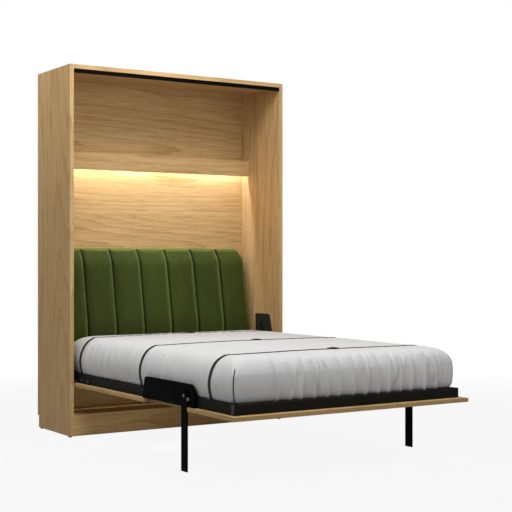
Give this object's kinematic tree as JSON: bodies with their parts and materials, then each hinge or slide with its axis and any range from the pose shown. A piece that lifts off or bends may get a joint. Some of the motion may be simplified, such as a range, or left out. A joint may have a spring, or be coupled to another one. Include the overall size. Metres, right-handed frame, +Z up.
{
  "type": "wall bed",
  "caption": "Vertical fold-down double wall bed in an oak cabinet, with a channelled green headboard, a lit shelf, a strapped mattress and folding legs.",
  "frame": {"origin": "on the floor, at the centre of the opened bed's footprint", "axes": "+X along the wall to the right as seen from the foot, +Y towards the wall, +Z up"},
  "size_m": [1.485, 2.256, 2.17],
  "materials": {
    "oak": "satin oak veneer, upright grain",
    "oak_across": "satin oak veneer, level grain",
    "door_oak": "satin oak veneer",
    "velvet": "short-pile velvet",
    "plywood": "matte plywood",
    "beech": "satin bent beech",
    "black_steel": "fine matte powder coat",
    "zinc_steel": "satin zinc",
    "rod_steel": "polished",
    "bush_brass": "satin",
    "black_plastic": "matte",
    "aluminium": "satin",
    "lamp_board": "matte",
    "lamp_cover": "milky",
    "mattress_cloth": "knitted cover",
    "elastic": "woven elastic",
    "rubber": "matte"
  },
  "bodies": {
    "cabinet": {"side_panel_left": "oak", "side_panel_right": "oak", "top_panel": "oak_across", "bottom_panel": "oak_across", "plinth_board": "oak_across", "rear_plinth_board": "oak_across", "back_panel_lower": "oak_across", "back_panel_upper": "oak_across", "wall_rail_top": "plywood", "wall_rail_middle": "plywood", "wall_rail_bottom": "plywood", "cabinet_glides": "black_plastic", "top_strip": "black_steel", "shelf_fascia": "oak_across", "shelf_board": "oak_across", "light_channel": "aluminium", "light_strip": "lamp_board", "light_cover": "lamp_cover", "ledge_front_board": "oak_across", "ledge_top_board": "oak_across", "headboard_cushion": "velvet", "headboard_board": "plywood", "hinge_bracket_left": "black_steel", "hinge_bracket_right": "black_steel", "bracket_screws": "black_steel", "pivot_bushes": "bush_brass"},
    "bed": {"door_panel": "door_oak", "side_rail_left": "black_steel", "side_rail_right": "black_steel", "foot_rail": "black_steel", "head_rail": "black_steel", "rail_end_caps": "black_plastic", "centre_rail": "black_steel", "cross_rails": "black_steel", "slats": "beech", "slat_holders": "black_plastic", "door_screws": "zinc_steel", "swing_arm_left": "black_steel", "swing_arm_right": "black_steel", "leg_bracket_left": "black_steel", "leg_bracket_right": "black_steel", "pivot_pins": "zinc_steel", "arm_bolts": "zinc_steel", "strut_stubs": "zinc_steel", "leg_bolts": "zinc_steel", "mattress": "mattress_cloth", "strap_head": "elastic", "strap_middle": "elastic", "strap_foot": "elastic", "strap_buckles": "black_plastic", "strap_anchors": "black_plastic"},
    "leg_left": {"leg_left": "black_steel", "leg_pad_left": "rubber"},
    "strut_cylinder_left": {"strut_cylinder_left": "black_steel"},
    "strut_rod_left": {"strut_rod_left": "rod_steel"},
    "leg_right": {"leg_right": "black_steel", "leg_pad_right": "rubber"},
    "strut_cylinder_right": {"strut_cylinder_right": "black_steel"},
    "strut_rod_right": {"strut_rod_right": "rod_steel"}
  },
  "joints": [
    {"name": "bed_fold", "type": "hinge", "parent": "cabinet", "child": "bed", "pos_m": [0, 0.66875, 0.31925], "axis": [-1, 0, 0], "range_deg": [0, 90]},
    {"name": "leg_fold_left", "type": "hinge", "parent": "bed", "child": "leg_left", "pos_m": [-0.7095, -0.656, 0.371], "axis": [1, 0, 0], "range_deg": [0, 90]},
    {"name": "strut_swing_left", "type": "hinge", "parent": "cabinet", "child": "strut_cylinder_left", "pos_m": [-0.701, 0.844, 0.62], "axis": [-1, 0, 0], "range_deg": [0, 7.86]},
    {"name": "strut_slide_left", "type": "slide", "parent": "strut_cylinder_left", "child": "strut_rod_left", "axis": [0, -0.1827, -0.9832], "range_m": [0, 0.1776]},
    {"name": "leg_fold_right", "type": "hinge", "parent": "bed", "child": "leg_right", "pos_m": [0.7095, -0.656, 0.371], "axis": [1, 0, 0], "range_deg": [0, 90]},
    {"name": "strut_swing_right", "type": "hinge", "parent": "cabinet", "child": "strut_cylinder_right", "pos_m": [0.701, 0.844, 0.62], "axis": [-1, 0, 0], "range_deg": [0, 7.86]},
    {"name": "strut_slide_right", "type": "slide", "parent": "strut_cylinder_right", "child": "strut_rod_right", "axis": [0, -0.1827, -0.9832], "range_m": [0, 0.1776]}
  ],
  "couplings": [
    {"joint": "strut_swing_left", "follows": "bed_fold", "ratio": 0.087224},
    {"joint": "strut_slide_left", "follows": "bed_fold", "m_per_rad": 0.11303},
    {"joint": "strut_swing_right", "follows": "bed_fold", "ratio": 0.087224},
    {"joint": "strut_slide_right", "follows": "bed_fold", "m_per_rad": 0.11303}
  ]
}
